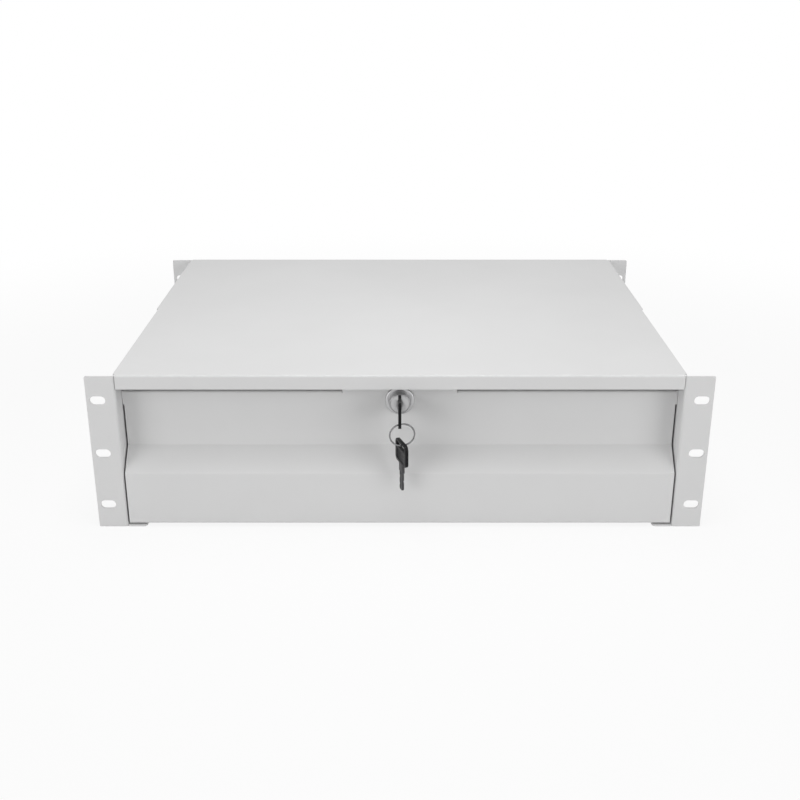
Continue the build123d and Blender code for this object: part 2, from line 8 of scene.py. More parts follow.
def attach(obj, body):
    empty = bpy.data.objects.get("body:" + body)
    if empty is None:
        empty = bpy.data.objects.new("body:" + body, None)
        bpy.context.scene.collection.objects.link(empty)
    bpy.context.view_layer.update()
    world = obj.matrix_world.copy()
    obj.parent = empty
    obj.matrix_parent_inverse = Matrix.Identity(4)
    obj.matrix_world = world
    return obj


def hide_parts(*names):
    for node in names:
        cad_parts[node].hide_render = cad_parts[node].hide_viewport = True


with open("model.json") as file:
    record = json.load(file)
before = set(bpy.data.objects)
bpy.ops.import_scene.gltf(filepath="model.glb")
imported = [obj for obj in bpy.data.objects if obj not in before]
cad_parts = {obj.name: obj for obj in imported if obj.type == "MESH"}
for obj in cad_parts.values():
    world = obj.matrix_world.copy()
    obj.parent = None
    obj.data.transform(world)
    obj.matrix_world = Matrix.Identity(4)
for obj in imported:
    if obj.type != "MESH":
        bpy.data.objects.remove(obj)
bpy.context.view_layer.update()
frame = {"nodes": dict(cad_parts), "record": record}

print("frame loaded,", len(frame["nodes"]), "nodes")

mm = 0.001  # the sizes below are in millimetres


def deselectAll():
    if bpy.context.object and bpy.context.object.mode != "OBJECT":
        bpy.ops.object.mode_set(mode="OBJECT")
    bpy.ops.object.select_all(action="DESELECT")


def takeUp(piece):
    deselectAll()
    piece.select_set(True)
    bpy.context.view_layer.objects.active = piece
    return piece


def named(name):
    piece = bpy.context.object
    piece.name = name
    piece.data.name = name
    return piece


def box(name, low, high):
    # a block between two corners, in millimetres
    deselectAll()
    middle = [(a + b) / 2 * mm for a, b in zip(low, high)]
    bpy.ops.mesh.primitive_cube_add(size=1, location=middle)
    piece = named(name)
    piece.scale = [(b - a) * mm for a, b in zip(low, high)]
    bpy.ops.object.transform_apply(location=True, rotation=True, scale=True)
    return piece


def bar(name, radius, low, high, sides=48):
    # a round or many-sided bar along Z, in millimetres
    deselectAll()
    bpy.ops.mesh.primitive_cylinder_add(vertices=sides, radius=radius * mm,
                                        depth=(high - low) * mm,
                                        location=(0, 0, (low + high) / 2 * mm))
    piece = named(name)
    bpy.ops.object.transform_apply(location=True, rotation=True, scale=True)
    return piece


def selectEdges(piece, wanted):
    # leaves the piece in edit mode with the edges that pass the test selected
    takeUp(piece)
    bpy.ops.object.mode_set(mode="EDIT")
    bpy.ops.mesh.select_all(action="DESELECT")
    bpy.ops.mesh.select_mode(type="EDGE")
    bpy.ops.object.mode_set(mode="OBJECT")
    points = piece.data.vertices
    for edge in piece.data.edges:
        a, b = (points[i].co / mm for i in edge.vertices)
        edge.select = bool(wanted(a, b))
    bpy.ops.object.mode_set(mode="EDIT")


def roundEdges(piece, wanted, width, segments):
    selectEdges(piece, wanted)
    bpy.ops.mesh.bevel(offset=width * mm, segments=segments, profile=0.5, affect="EDGES")
    bpy.ops.object.mode_set(mode="OBJECT")
    return piece


def alongZ(a, b):
    return abs(a.x - b.x) < 1e-3 and abs(a.y - b.y) < 1e-3 and abs(a.z - b.z) > 1e-3


def atHeight(height):
    return lambda a, b: abs(a.z - height) < 1e-3 and abs(b.z - height) < 1e-3


def cutAway(piece, tools, way="DIFFERENCE"):
    for tool in tools:
        takeUp(piece)
        cut = piece.modifiers.new("cut", "BOOLEAN")
        cut.operation = way
        cut.solver = "EXACT"
        cut.object = tool
        bpy.ops.object.modifier_apply(modifier=cut.name)
        takeUp(tool)
        bpy.ops.object.delete()
    return piece


def softenEdges(piece, width, segments=2, angle=35):
    takeUp(piece)
    edge = piece.modifiers.new("edges", "BEVEL")
    edge.width = width * mm
    edge.segments = segments
    edge.limit_method = "ANGLE"
    edge.angle_limit = math.radians(angle)
    edge.harden_normals = False
    bpy.ops.object.modifier_apply(modifier=edge.name)
    bpy.ops.object.shade_smooth_by_angle(angle=math.radians(35))
    return piece


def joined(name, parts):
    takeUp(parts[0])
    for part in parts[1:]:
        part.select_set(True)
    bpy.ops.object.join()
    return named(name)


def moveTo(piece, place):
    takeUp(piece)
    piece.matrix_world = place
    bpy.ops.object.transform_apply(location=True, rotation=True, scale=True)
    return piece


def placement(origin, xWay, zWay):
    x, z = Vector(xWay).normalized(), Vector(zWay).normalized()
    y = z.cross(x)
    turn = Matrix((x, y, z)).transposed().to_4x4()
    return Matrix.Translation(Vector(origin) * mm) @ turn


# finishes

class Finish:
    # a material under way, with short words for its nodes
    def __init__(self, name):
        self.material = bpy.data.materials.new(name)
        self.material.use_nodes = True
        self.tree = self.material.node_tree
        self.shader = self.tree.nodes["Principled BSDF"]
        self.place = self.add("ShaderNodeTexCoord").outputs["Object"]

    def add(self, kind):
        return self.tree.nodes.new(kind)

    def link(self, start, end):
        self.tree.links.new(start, end)

    def stretched(self, scale):
        node = self.add("ShaderNodeMapping")
        node.inputs["Scale"].default_value = scale
        self.link(self.place, node.inputs["Vector"])
        return node.outputs["Vector"]

    def noise(self, scale, detail=2.0, roughness=0.5, stretch=None):
        node = self.add("ShaderNodeTexNoise")
        node.inputs["Scale"].default_value = scale
        node.inputs["Detail"].default_value = detail
        node.inputs["Roughness"].default_value = roughness
        self.link(self.stretched(stretch) if stretch else self.place, node.inputs["Vector"])
        return node.outputs["Fac"]

    def ranged(self, source, low, high, fromLow=0.3, fromHigh=0.7):
        node = self.add("ShaderNodeMapRange")
        for key, value in (("From Min", fromLow), ("From Max", fromHigh),
                           ("To Min", low), ("To Max", high)):
            node.inputs[key].default_value = value
        self.link(source, node.inputs["Value"])
        return node.outputs["Result"]

    def colours(self, source, stops):
        node = self.add("ShaderNodeValToRGB")
        ramp = node.color_ramp
        while len(ramp.elements) < len(stops):
            ramp.elements.new(0.5)
        for element, (position, colour) in zip(ramp.elements, stops):
            element.position = position
            element.color = (*colour, 1)
        self.link(source, node.inputs["Fac"])
        return node.outputs["Color"]

    def bump(self, source, strength, distance, before=None):
        node = self.add("ShaderNodeBump")
        node.inputs["Strength"].default_value = strength
        node.inputs["Distance"].default_value = distance * mm
        self.link(source, node.inputs["Height"])
        if before:
            self.link(before, node.inputs["Normal"])
        return node.outputs["Normal"]

    def fixed(self, **values):
        for key, value in values.items():
            self.shader.inputs[key.replace("_", " ")].default_value = value

    def into(self, **sources):
        for key, source in sources.items():
            self.link(source, self.shader.inputs[key.replace("_", " ")])


powderCoat = {
    "light": (0.69, 0.69, 0.69),
    "dark": (0.668, 0.668, 0.668),
    "roughness": (0.52, 0.6),
    "cloudPerMetre": 9,
    "grainPerMetre": 1500,
    "wavePerMetre": 420,
    "waveDepth": 0.02,
    "gloss": 0.2,
}


def paintFinish(name):
    finish = Finish(name)
    cloud = finish.noise(powderCoat["cloudPerMetre"], 3, 0.55)
    stops = [(0.3, powderCoat["dark"]), (0.7, powderCoat["light"])]
    finish.into(Base_Color=finish.colours(cloud, stops))
    grain = finish.noise(powderCoat["grainPerMetre"], 2, 0.5)
    finish.into(Roughness=finish.ranged(grain, *powderCoat["roughness"]))
    wave = finish.noise(powderCoat["wavePerMetre"], 1, 0.4)
    relief = finish.bump(grain, 0.25, powderCoat["waveDepth"])
    finish.into(Normal=finish.bump(wave, 0.2, powderCoat["waveDepth"] * 2, relief))
    finish.fixed(Specular_IOR_Level=powderCoat["gloss"])
    return finish.material


brushedMetal = {
    "linesPerMetre": 900,
    "cloudPerMetre": 60,
    "lineDepth": 0.01,
}


def brushedFinish(name, light, dark, roughness, stretch):
    finish = Finish(name)
    lines = finish.noise(brushedMetal["linesPerMetre"], 4, 0.6, stretch)
    cloud = finish.noise(brushedMetal["cloudPerMetre"], 3, 0.6)
    mix = finish.add("ShaderNodeMath")
    mix.operation = "ADD"
    finish.link(finish.ranged(lines, 0, 0.6), mix.inputs[0])
    finish.link(finish.ranged(cloud, 0, 0.4), mix.inputs[1])
    finish.into(Base_Color=finish.colours(mix.outputs[0], [(0.15, dark), (0.85, light)]))
    finish.into(Roughness=finish.ranged(mix.outputs[0], *roughness, 0, 1))
    finish.into(Normal=finish.bump(lines, 0.18, brushedMetal["lineDepth"]))
    finish.fixed(Metallic=1.0)
    return finish.material


def grainFinish(name, light, dark, roughness, grain, depth, specular):
    finish = Finish(name)
    speckle = finish.noise(grain, 3, 0.6)
    cloud = finish.noise(grain / 20, 3, 0.6)
    finish.into(Base_Color=finish.colours(cloud, [(0.3, dark), (0.7, light)]))
    finish.into(Roughness=finish.ranged(speckle, *roughness))
    finish.into(Normal=finish.bump(speckle, 0.5, depth))
    finish.fixed(Specular_IOR_Level=specular)
    return finish.material


finishes = {
    "case_paint": paintFinish("caseCoat"),
    "drawer_paint": paintFinish("drawerCoat"),
    "zinc_steel": brushedFinish("zincPlate", (0.74, 0.75, 0.77), (0.52, 0.53, 0.56),
                                (0.28, 0.42), (1, 0.04, 1)),
    "ball_steel": brushedFinish("polishedBall", (0.8, 0.81, 0.83), (0.7, 0.71, 0.73),
                                (0.08, 0.14), (1, 1, 1)),
    "buffer_rubber": grainFinish("bufferRubber", (0.035, 0.035, 0.036), (0.02, 0.02, 0.021),
                                 (0.7, 0.85), 1800, 0.03, 0.3),
    "lock_chrome": brushedFinish("lockNickel", (0.5, 0.5, 0.505), (0.44, 0.44, 0.445),
                                 (0.3, 0.38), (0.2, 1, 0.2)),
    "key_steel": brushedFinish("keySteel", (0.13, 0.13, 0.133), (0.05, 0.05, 0.052),
                               (0.3, 0.42), (1, 1, 0.05)),
    "key_plastic": grainFinish("bowPlastic", (0.008, 0.008, 0.009), (0.005, 0.005, 0.006),
                               (0.24, 0.32), 3200, 0.006, 0.14),
    "ring_steel": brushedFinish("ringNickel", (0.3, 0.3, 0.305), (0.16, 0.16, 0.165),
                                (0.15, 0.25), (1, 1, 1)),
}


def finishWith(piece, slot):
    piece.data.materials.clear()
    piece.data.materials.append(finishes[slot])


slotOfNode = {part["node"]: part["material_slot"] for part in frame["record"]["subparts"]}
for nodeName, node in frame["nodes"].items():
    for place in node.material_slots:
        place.material = finishes[slotOfNode[nodeName]]
print("finishes made,", len(finishes))


def newPiece(piece, body, slot, *nodes):
    finishWith(piece, slot)
    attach(piece, body)
    if nodes:
        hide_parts(*nodes)
    print(piece.name, len(piece.data.polygons), "faces")
    return piece


# keys and their ring

keys = {
    "lockHeight": 38.1,
    "endY": -18.15,          # far edge of the bow in the lock
    "bowWidth": 23.2,
    "bowLength": 18.5,
    "bowThickness": 2.4,
    "bowCorner": 4.0,
    "panelSize": (16.0, 8.6),
    "panelStart": 7.6,
    "panelDepth": 0.3,
    "panelCorner": 1.6,
    "bowEdge": 0.3,
    "slotLength": 18.4,
    "slotWidth": 3.2,
    "slotInset": 3.8,
    "collarWidth": 9.0,
    "collarLength": 7.0,
    "tangLength": 6.0,
    "bladeWidth": 6.0,
    "bladeLength": 15.5,
    "bladeThickness": 1.6,
    "cuts": (0.3, 0.5, 0.7),
    "cutDepth": 0.9,
    "cutNarrow": 0.7,        # width of a cut at its bottom
    "cutSpread": 9,          # how many times wider it is outside
    "tipShare": 0.55,
    "grooveWidth": 0.9,
    "grooveDepth": 0.35,
    "grooveShift": -0.6,
    "collarCorner": 0.5,
    "collarEdge": 0.15,
    "bladeEdge": 0.1,
}
ring = {
    "radius": 9.65,
    "wire": 0.6,
    "hangGap": 0.45,
    "turn": 8.0,
    "lean": 9.0,
    "shift": 12.0,
    "spareTurn": 20.0,
    "turns": 1.94,
    "layer": 0.46,           # thickness of one turn of the flattened wire
    "layerGap": 0.04,
    "breadth": 1.1,
    "corner": 0.16,
    "steps": 150,
}


def hangingPlaces():
    # where the ring and the spare key hang, worked out as the solids are
    up = Vector((0, 0, 1))
    turn, lean, shift, spare = (
        math.radians(ring[k]) for k in ("turn", "lean", "shift", "spareTurn"))
    across = Vector((math.cos(turn), math.sin(turn), 0))
    behind = Vector((-math.sin(turn), math.cos(turn), 0))
    spareAcross = Vector((math.cos(spare), math.sin(spare), 0))
    down = behind * math.sin(lean) - up * math.cos(lean)
    axis = down.cross(across)
    seat = ring["wire"] + ring["hangGap"]
    hook = Vector((0, keys["endY"] + keys["slotInset"],
                   keys["lockHeight"] - keys["slotLength"] / 2 + seat))
    centre = hook + (down * math.cos(shift) + across * math.sin(shift)) * ring["radius"]
    bottom = centre + down * ring["radius"]
    spareTop = bottom + up * (keys["slotInset"] - keys["slotWidth"] / 2 + seat)
    return {
        "key": placement((0, keys["endY"], keys["lockHeight"]), up, (-1, 0, 0)),
        "spare": placement(spareTop, spareAcross.cross(up), spareAcross),
        "ring": placement(centre, across, axis),
    }


def keyBow(name):
    half = keys["bowThickness"] / 2
    bow = box(name, (-keys["bowWidth"] / 2, 0, -half),
              (keys["bowWidth"] / 2, keys["bowLength"], half))
    roundEdges(bow, alongZ, keys["bowCorner"], 8)
    slot = box("slotTool",
               (-keys["slotLength"] / 2, keys["slotInset"] - keys["slotWidth"] / 2, -4),
               (keys["slotLength"] / 2, keys["slotInset"] + keys["slotWidth"] / 2, 4))
    roundEdges(slot, alongZ, keys["slotWidth"] / 2 - 0.01, 8)
    tools = [slot]
    width, length = keys["panelSize"]
    for face in (1, -1):
        low, high = sorted((face * (half - keys["panelDepth"]), face * (half + 2)))
        panel = box("panelTool", (-width / 2, keys["panelStart"], low),
                    (width / 2, keys["panelStart"] + length, high))
        tools.append(roundEdges(panel, alongZ, keys["panelCorner"], 6))
    cutAway(bow, tools)
    return softenEdges(bow, keys["bowEdge"], 3)


def keyMetal(name):
    half = keys["bladeThickness"] / 2
    start = keys["bowLength"] - keys["tangLength"]
    collarEnd = keys["bowLength"] + keys["collarLength"]
    collar = box("collar", (-keys["collarWidth"] / 2, start, -half),
                 (keys["collarWidth"] / 2, collarEnd, half))
    roundEdges(collar, alongZ, keys["collarCorner"], 3)
    softenEdges(collar, keys["collarEdge"])
    tip = collarEnd + keys["bladeLength"]
    side = keys["bladeWidth"] / 2
    blade = box("blade", (-side, collarEnd - 0.5, -half), (side, tip, half))
    roundEdges(blade, lambda a, b: alongZ(a, b) and a.y > tip - 0.1, side * keys["tipShare"], 3)
    tools = []
    for face in (1, -1):
        edge = face * (half - keys["grooveDepth"])
        low, high = sorted((edge, edge + face * 2))
        wide, shift = keys["grooveWidth"] / 2, keys["grooveShift"]
        tools.append(box("grooveTool", (shift - wide, collarEnd - 3, low),
                         (shift + wide, tip + 1, high)))
    for number, share in enumerate(keys["cuts"]):
        way = 1 if number % 2 else -1
        y = collarEnd + share * keys["bladeLength"]
        deep = side - keys["cutDepth"]
        low, high = sorted((way * deep, way * (side + 2)))
        wide = keys["cutNarrow"] / 2
        notch = box("notchTool", (low, y - wide, -3), (high, y + wide, 3))
        takeUp(notch)
        bpy.ops.object.mode_set(mode="EDIT")
        bpy.ops.mesh.select_all(action="DESELECT")
        bpy.ops.object.mode_set(mode="OBJECT")
        for face in notch.data.polygons:
            face.select = face.normal.x * way > 0.9
        bpy.ops.object.mode_set(mode="EDIT")
        bpy.ops.mesh.select_mode(type="FACE")
        bpy.ops.transform.resize(value=(1, keys["cutSpread"], 1))
        bpy.ops.object.mode_set(mode="OBJECT")
        tools.append(notch)
    cutAway(blade, tools)
    softenEdges(blade, keys["bladeEdge"])
    return joined(name, [collar, blade])


def splitRing(name):
    # a flattened wire wound nearly twice round, each turn lying on the last
    deselectAll()
    bpy.ops.mesh.primitive_plane_add(size=1, location=(ring["radius"] * mm, 0, 0),
                                     rotation=(math.radians(90), 0, 0))
    wire = named(name)
    wire.scale = (ring["breadth"] * mm, ring["layer"] * mm, 1)
    bpy.ops.object.transform_apply(location=True, rotation=True, scale=True)
    bpy.ops.object.mode_set(mode="EDIT")
    bpy.ops.mesh.select_all(action="SELECT")
    bpy.ops.mesh.bevel(offset=ring["corner"] * mm, segments=3, affect="VERTICES")
    bpy.ops.object.mode_set(mode="OBJECT")
    rise = (ring["layer"] + ring["layerGap"]) * ring["turns"]
    for vertex in wire.data.vertices:
        vertex.co.z -= rise / 2 * mm
    coil = wire.modifiers.new("coil", "SCREW")
    coil.axis = "Z"
    coil.angle = math.radians(360 * ring["turns"])
    coil.screw_offset = rise * mm
    coil.steps = coil.render_steps = ring["steps"]
    coil.use_smooth_shade = True
    bpy.ops.object.modifier_apply(modifier=coil.name)
    bpy.ops.object.mode_set(mode="EDIT")
    bpy.ops.mesh.select_all(action="SELECT")
    bpy.ops.mesh.remove_doubles(threshold=0.001 * mm)
    bpy.ops.mesh.select_all(action="DESELECT")
    bpy.ops.mesh.select_mode(type="EDGE")
    bpy.ops.mesh.select_non_manifold()
    bpy.ops.mesh.edge_face_add()
    bpy.ops.mesh.select_all(action="SELECT")
    bpy.ops.mesh.normals_make_consistent(inside=False)
    bpy.ops.object.mode_set(mode="OBJECT")
    bpy.ops.object.shade_smooth_by_angle(angle=math.radians(50))
    return wire


places = hangingPlaces()
for body, place, prefix, nodes in (
    ("key", "key", "lockKey", ("key_bow", "key_blade")),
    ("spare_key", "spare", "spareKey", ("spare_key_bow", "spare_key_blade")),
):
    bow = moveTo(keyBow(prefix + "Bow"), places[place])
    newPiece(bow, body, "key_plastic", nodes[0])
    metal = moveTo(keyMetal(prefix + "Metal"), places[place])
    newPiece(metal, body, "key_steel", nodes[1])
newPiece(moveTo(splitRing("splitRing"), places["ring"]), "key_ring", "ring_steel", "key_ring")


# lock

lock = {
    "height": 38.1,
    "knobY": 7.45,
    "knobRadius": 8.0,
    "knobLength": 6.5,
    "knobRim": 0.3,
    "fineEdge": 0.08,
    "faceRing": (7.55, 7.1),
    "faceRingDepth": 0.35,
    "stemRadius": 6.0,
    "squareStart": 28.6,
    "squareSize": 8.0,
    "squareEdge": 0.2,
    "stubStart": 31.1,
    "stubRadius": 3.0,
    "stubEnd": 35.6,
    "stubRim": 0.4,
    "keyway": (1.9, 6.3, 16.4),
    "flangeY": 14.0,
    "flangeRadius": 11.4,
    "flangeThickness": 2.0,
    "flangeRim": 0.8,
    "gapRing": (8.7, 8.1),
    "gapRingDepth": 0.7,
    "boreRadius": 6.05,
    "barrelRadius": 9.5,
    "barrelFlats": 16.5,
    "barrelLength": 20,      # one turn of the thread for each millimetre
    "threadDepth": 0.3,
}


def ringTool(radii, depth):
    # cuts a round groove into a face that lies on zero and looks down
    outer = bar("ringTool", radii[0], -1, depth)
    return cutAway(outer, [bar("ringHole", radii[1], -2, depth + 1)])


def lockKnob():
    wide, high, deep = lock["keyway"]
    knob = bar("knob", lock["knobRadius"], 0, lock["knobLength"], 96)
    roundEdges(knob, atHeight(0), lock["knobRim"], 3)
    stem = bar("stem", lock["stemRadius"], lock["knobLength"], lock["squareStart"])
    for part in (knob, stem):
        cutAway(part, [box("keywayTool", (-wide / 2, -high / 2, -1), (wide / 2, high / 2, deep))])
    cutAway(knob, [ringTool(lock["faceRing"], lock["faceRingDepth"])])
    softenEdges(knob, lock["fineEdge"])
    half = lock["squareSize"] / 2
    square = box("square", (-half, -half, lock["squareStart"]), (half, half, lock["stubStart"]))
    softenEdges(square, lock["squareEdge"])
    stub = bar("stub", lock["stubRadius"], lock["stubStart"], lock["stubEnd"], 32)
    roundEdges(stub, atHeight(lock["stubEnd"]), lock["stubRim"], 2)
    return joined("lockKnob", [knob, stem, square, stub])


def lockBarrel():
    thick, bore = lock["flangeThickness"], lock["boreRadius"]
    flange = bar("flange", lock["flangeRadius"], 0, thick, 96)
    roundEdges(flange, atHeight(0), lock["flangeRim"], 4)
    cutAway(flange, [ringTool(lock["gapRing"], lock["gapRingDepth"]),
                     bar("boreTool", bore, -1, thick + 1, 96)])
    softenEdges(flange, lock["fineEdge"])
    # one turn of the thread, repeated along the barrel
    turn = bar("threadTurn", lock["barrelRadius"], thick, thick + 1)
    roundEdges(turn, lambda a, b: atHeight(thick)(a, b) or atHeight(thick + 1)(a, b),
               lock["threadDepth"], 1)
    flat, far = lock["barrelFlats"] / 2, lock["barrelRadius"] + 1
    cutAway(turn, [box("flatTool", (flat, -far, 0), (far, far, thick + 2)),
                   box("flatTool", (-far, -far, 0), (-flat, far, thick + 2))])
    takeUp(turn)
    rows = turn.modifiers.new("turns", "ARRAY")
    rows.count = lock["barrelLength"]
    rows.use_relative_offset = False
    rows.use_constant_offset = True
    rows.constant_offset_displace = (0, 0, 1 * mm)
    bpy.ops.object.modifier_apply(modifier=rows.name)
    bpy.ops.object.mode_set(mode="EDIT")
    bpy.ops.mesh.select_all(action="SELECT")
    bpy.ops.mesh.remove_doubles(threshold=0.005 * mm)
    bpy.ops.mesh.select_all(action="DESELECT")
    bpy.ops.mesh.select_mode(type="FACE")
    bpy.ops.object.mode_set(mode="OBJECT")
    low, high = (thick + 0.5) * mm, (thick + lock["barrelLength"] - 0.5) * mm
    for face in turn.data.polygons:  # the walls between two turns
        face.select = abs(face.normal.z) > 0.99 and low < face.center.z < high
    bpy.ops.object.mode_set(mode="EDIT")
    bpy.ops.mesh.delete(type="FACE")
    bpy.ops.mesh.select_all(action="SELECT")
    bpy.ops.mesh.normals_make_consistent(inside=False)
    bpy.ops.object.mode_set(mode="OBJECT")
    cutAway(turn, [bar("boreTool", bore, 0, thick + lock["barrelLength"] + 1)])
    takeUp(turn)
    bpy.ops.object.shade_smooth_by_angle(angle=math.radians(25))
    return joined("lockBarrel", [flange, turn])


for make, startY, body, node in ((lockKnob, lock["knobY"], "lock_cylinder", "lock_plug"),
                                 (lockBarrel, lock["flangeY"], "drawer", "lock_housing")):
    place = placement((0, startY, lock["height"]), (1, 0, 0), (0, 1, 0))
    newPiece(moveTo(make(), place), body, "lock_chrome", node)


# screws and bolts

bolts = {
    "faceX": 221.9,          # where a head meets the bracket
    "places": [(y, z) for z in (45.0, -0.5) for y in (263.5, 323.5)],
    "headRadius": 5.0,
    "headHeight": 2.0,
    "rim": 1.3,
    "headEdge": 0.12,
    "shankRadius": 2.5,
    "shankLength": 7.6,
    "shankRim": 0.3,
    "socketAcross": 3.0,
    "socketDepth": 1.3,
}
screws = {
    "height": -35.5,
    "headRadius": 3.7,
    "headHeight": 1.7,
    "rim": 1.2,
    "shankRadius": 2.0,
    "trayFaceX": 204.4,
    "trayPlaces": (46.784, 174.35, 295.202),
    "trayLength": 3.6,
    "railFaceX": 217.1,
    "railPlaces": (47.78, 178.5, 302.34),
    "railLength": 2.7,
    "sink": 1.0,
    "panEdge": 0.1,
    "sunkEdge": 0.08,
    "crossLength": 4.0,
    "crossWidth": 0.85,
    "crossDepth": 0.9,
}


def socketBolt():
    # the head stands on zero and the shank runs below it
    head = bar("boltHead", bolts["headRadius"], 0, bolts["headHeight"])
    roundEdges(head, atHeight(bolts["headHeight"]), bolts["rim"], 6)
    reach = bolts["socketAcross"] / math.sqrt(3)
    cutAway(head, [bar("socketTool", reach, bolts["headHeight"] - bolts["socketDepth"],
                       bolts["headHeight"] + 1, 6)])
    softenEdges(head, bolts["headEdge"])
    shank = bar("boltShank", bolts["shankRadius"], -bolts["shankLength"], 0, 32)
    roundEdges(shank, atHeight(-bolts["shankLength"]), bolts["shankRim"], 2)
    return joined("bolt", [head, shank])


def crossTools(top):
    length, width, depth = (screws[k] for k in ("crossLength", "crossWidth", "crossDepth"))
    tools = []
    for across, along in ((width, length), (length, width)):
        tools.append(box("crossTool", (-across / 2, -along / 2, top - depth),
                         (across / 2, along / 2, top + 1)))
    return tools


def panScrew():
    head = bar("screwHead", screws["headRadius"], 0, screws["headHeight"])
    roundEdges(head, atHeight(screws["headHeight"]), screws["rim"], 5)
    cutAway(head, crossTools(screws["headHeight"]))
    softenEdges(head, screws["panEdge"])
    shank = bar("screwShank", screws["shankRadius"], -screws["trayLength"], 0, 24)
    return joined("screw", [head, shank])


def sunkScrew():
    deselectAll()
    bpy.ops.mesh.primitive_cone_add(vertices=48, radius1=screws["shankRadius"] * mm,
                                    radius2=screws["headRadius"] * mm,
                                    depth=screws["sink"] * mm,
                                    location=(0, 0, -screws["sink"] / 2 * mm))
    head = named("screwHead")
    bpy.ops.object.transform_apply(location=True, rotation=True, scale=True)
    cutAway(head, crossTools(0))
    softenEdges(head, screws["sunkEdge"])
    shank = bar("screwShank", screws["shankRadius"], -screws["railLength"], -screws["sink"], 24)
    return joined("screw", [head, shank])


def scattered(name, first, places, xWay, zWay, step=37):
    # copies of one fastener, each turned by a step more than the last
    copies = []
    for number, origin in enumerate(places):
        takeUp(first)
        bpy.ops.object.duplicate()
        copy = named(f"copy{number}")
        spin = Matrix.Rotation(math.radians(step * number), 4, "Z")
        copies.append(moveTo(copy, placement(origin, xWay, zWay) @ spin))
    takeUp(first)
    bpy.ops.object.delete()
    return joined(name, copies)


for side, way in (("left", -1), ("right", 1)):
    outward, inward = (way, 0, 0), (-way, 0, 0)
    places = [(way * bolts["faceX"], y, z) for y, z in bolts["places"]]
    newPiece(scattered(side + "SocketBolts", socketBolt(), places, (0, 1, 0), outward),
             "case", "zinc_steel", side + "_bracket_bolts")
    places = [(way * screws["trayFaceX"], y, screws["height"]) for y in screws["trayPlaces"]]
    newPiece(scattered(side + "TrayScrews", panScrew(), places, (0, 1, 0), inward),
             "drawer", "zinc_steel", side + "_drawer_rail_screws")
    places = [(way * screws["railFaceX"], y, screws["height"]) for y in screws["railPlaces"]]
    newPiece(scattered(side + "RailScrews", sunkScrew(), places, (0, 1, 0), inward),
             "case", "zinc_steel", side + "_cabinet_rail_screws")


# nuts

nuts = {
    "bracket": {"across": 8.0, "height": 4.0, "bore": 2.55},
    "front": {"across": 7.0, "height": 3.2, "bore": 2.05},
    "lock": {"across": 24.0, "height": 4.0, "bore": 9.6},
    "cam": {"across": 10.0, "height": 3.5, "bore": 3.05},
    "wallX": 218.3,
    "frontPlaces": [(x, 18.4, 20.125) for x in (-147.17, -57.23, 57.23, 147.17)],
    "lockY": 17.2,
    "camY": 38.55,
    "cornerCut": 0.1,        # how far the chamfer goes below the flats
    "mostCut": 0.25,         # the chamfer's largest share of the height
    "edge": 0.06,
}


def hexNut(kind):
    across, height, bore = (nuts[kind][k] for k in ("across", "height", "bore"))
    corner = across / math.sqrt(3)
    nut = bar("nut", corner, 0, height, 6)
    cutAway(nut, [bar("nutBore", bore, -1, height + 1)])
    # a round blank with cut rims takes the corners off
    past = 0.5
    cut = min(corner - across / 2 + nuts["cornerCut"], height * nuts["mostCut"]) + past
    blank = bar("nutBlank", corner + 0.01, -past, height + past, 72)
    roundEdges(blank, lambda a, b: atHeight(-past)(a, b) or atHeight(height + past)(a, b), cut, 1)
    cutAway(nut, [blank], "INTERSECT")
    return softenEdges(nut, nuts["edge"])


for side, way in (("left", -1), ("right", 1)):
    inward = (-way, 0, 0)
    places = [(way * nuts["wallX"], y, z) for y, z in bolts["places"]]
    newPiece(scattered(side + "BracketNuts", hexNut("bracket"), places, (0, 0, 1), inward, 0),
             "case", "zinc_steel", side + "_bracket_nuts")
for name, kind, spots, body, node in (
    ("frontNuts", "front", nuts["frontPlaces"], "drawer", "front_nuts"),
    ("lockNut", "lock", [(0, nuts["lockY"], lock["height"])], "drawer", "lock_nut"),
    ("camNut", "cam", [(0, nuts["camY"], lock["height"])], "lock_cylinder", "cam_nut"),
):
    newPiece(scattered(name, hexNut(kind), spots, (1, 0, 0), (0, 1, 0), 0),
             body, slotOfNode[node], node)


# rubber buffers

buffers = {
    "outerX": 217.1,
    "innerX": 208.1,
    "startY": 342.5,
    "endY": 350.5,
    "lowZ": -44.5,
    "highZ": -26.5,
    "frontRound": 1.2,
    "grooves": (-40.0, -35.5, -31.0),
    "grooveWidth": 1.3,
    "grooveDepth": 0.9,
    "edge": 0.3,
}


def railBuffer(name, way):
    low, high = sorted((way * buffers["innerX"], way * buffers["outerX"]))
    stop = box(name, (low, buffers["startY"], buffers["lowZ"]),
               (high, buffers["endY"], buffers["highZ"]))
    roundEdges(stop, lambda a, b: alongZ(a, b) and abs(a.y - buffers["startY"]) < 0.01,
               buffers["frontRound"], 5)
    half = buffers["grooveWidth"] / 2
    cutAway(stop, [box("grooveTool", (low - 1, buffers["endY"] - buffers["grooveDepth"], z - half),
                       (high + 1, buffers["endY"] + 1, z + half)) for z in buffers["grooves"]])
    return softenEdges(stop, buffers["edge"], 3)


for side, way in (("left", -1), ("right", 1)):
    newPiece(railBuffer(side + "RailStop", way), "case", "buffer_rubber", side + "_rail_buffer")


# floor, light and camera

studio = {
    "floorHeight": -64.4,    # 0.2 under the part
    "floorSize": 60000,
    "worldLight": 0.36,
    "shadowShare": 0.12,     # how much of the real floor the camera sees near the part
    "shadowReach": (450, 1100),
    "camera": (0, -793.3, 355.8),
    "tiltDown": 21.43,
    "lens": 49.785,
    "sideShift": 0.00025,
}


